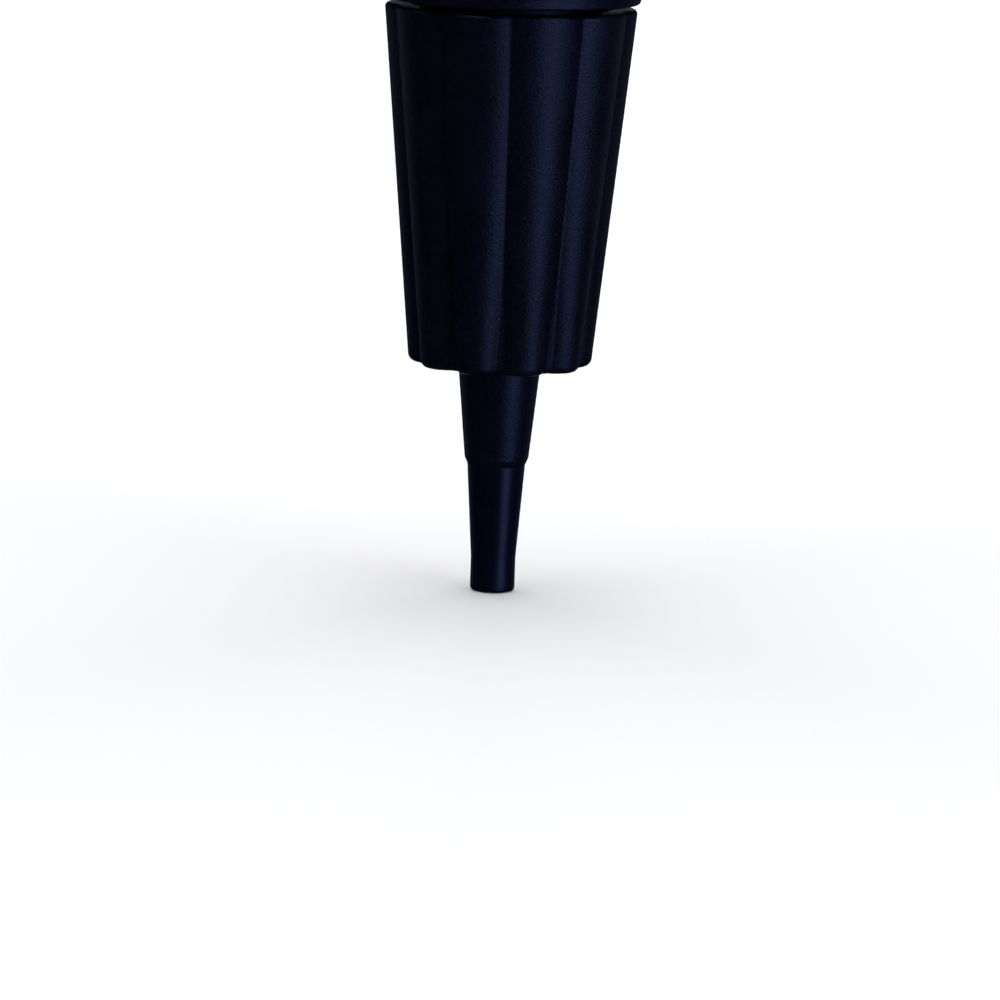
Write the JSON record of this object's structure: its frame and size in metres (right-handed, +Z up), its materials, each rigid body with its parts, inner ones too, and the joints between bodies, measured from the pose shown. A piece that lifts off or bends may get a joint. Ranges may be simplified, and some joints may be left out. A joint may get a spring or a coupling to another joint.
{
  "type": "ball inflation pump",
  "caption": "Double-action hand pump for exercise balls: fluted tapered nose with a stepped cone nozzle, smooth collar and barrel, and a T handle on a wide plunger tube.",
  "frame": {"origin": "centre of the nozzle's open tip, with the pump upright and its plunger pushed home", "axes": "+Z up the pump's axis from the nozzle to the handle; the handle's bar lies along X, its screws face +Y"},
  "size_m": [0.117, 0.0468, 0.2783],
  "materials": {
    "nose_plastic": "fine spark-eroded grain, semi-matt, navy black",
    "barrel_plastic": "smooth satin extrusion, navy black",
    "plunger_plastic": "smooth satin, mid grey",
    "bush_plastic": "plain off-white acetal",
    "seal_rubber": "matt black moulded rubber",
    "grip_rubber": "soft ribbed elastomer, charcoal",
    "tube_aluminium": "drawn, satin",
    "screw_steel": "zinc plated",
    "filter_foam": "open-cell foam, dark grey"
  },
  "bodies": {
    "barrel": {"lower_housing": "nose_plastic", "valve_plate": "plunger_plastic", "valve_cage": "plunger_plastic", "bottom_bumper": "seal_rubber", "barrel_tube": "barrel_plastic", "barrel_seal_ring": "seal_rubber", "gland_cap": "nose_plastic", "guide_bush": "bush_plastic", "stop_bumper": "seal_rubber", "air_tube": "tube_aluminium", "fixed_piston": "plunger_plastic", "fixed_piston_seal": "seal_rubber"},
    "cup_seal": {"piston_cup_seal": "seal_rubber"},
    "plunger": {"piston_body": "plunger_plastic", "piston_inner_seal": "seal_rubber", "piston_retainer": "plunger_plastic", "piston_screws": "screw_steel", "plunger_tube": "plunger_plastic", "handle_front": "nose_plastic", "handle_back": "nose_plastic", "handle_screws": "screw_steel", "handle_pin": "screw_steel", "grip_sleeve_left": "grip_rubber", "grip_sleeve_right": "grip_rubber", "end_cap_left": "nose_plastic", "end_cap_right": "nose_plastic", "vent_cap": "nose_plastic", "intake_filter": "filter_foam"},
    "spout": {"nozzle": "nose_plastic", "nose_gasket": "seal_rubber"},
    "nose": {"nose_cone": "nose_plastic"},
    "flap_valve": {"outlet_flap": "seal_rubber"},
    "tube_valve": {"tube_valve_disc": "seal_rubber"}
  },
  "joints": [
    {"name": "plunger_stroke", "type": "slide", "parent": "barrel", "child": "cup_seal", "axis": [0, 0, 1], "range_m": [0, 0.1]},
    {"name": "plunger_turn", "type": "hinge", "parent": "cup_seal", "child": "plunger", "pos_m": [0, 0, 0.123], "axis": [0, 0, 1], "continuous": true},
    {"name": "nozzle_draw", "type": "slide", "parent": "barrel", "child": "spout", "axis": [0, 0, -1], "range_m": [0, 0.009]},
    {"name": "nose_cone_turn", "type": "hinge", "parent": "spout", "child": "nose", "pos_m": [0, 0, 0.06], "axis": [0, 0, -1], "range_deg": [0, 1080]},
    {"name": "outlet_flap_lift", "type": "slide", "parent": "barrel", "child": "flap_valve", "axis": [0, 0, 1], "range_m": [0, 0.00145]},
    {"name": "tube_valve_lift", "type": "slide", "parent": "barrel", "child": "tube_valve", "axis": [0, 0, 1], "range_m": [0, 0.0015]}
  ],
  "couplings": [
    {"joint": "nozzle_draw", "follows": "nose_cone_turn", "m_per_rad": 0.00047746}
  ]
}
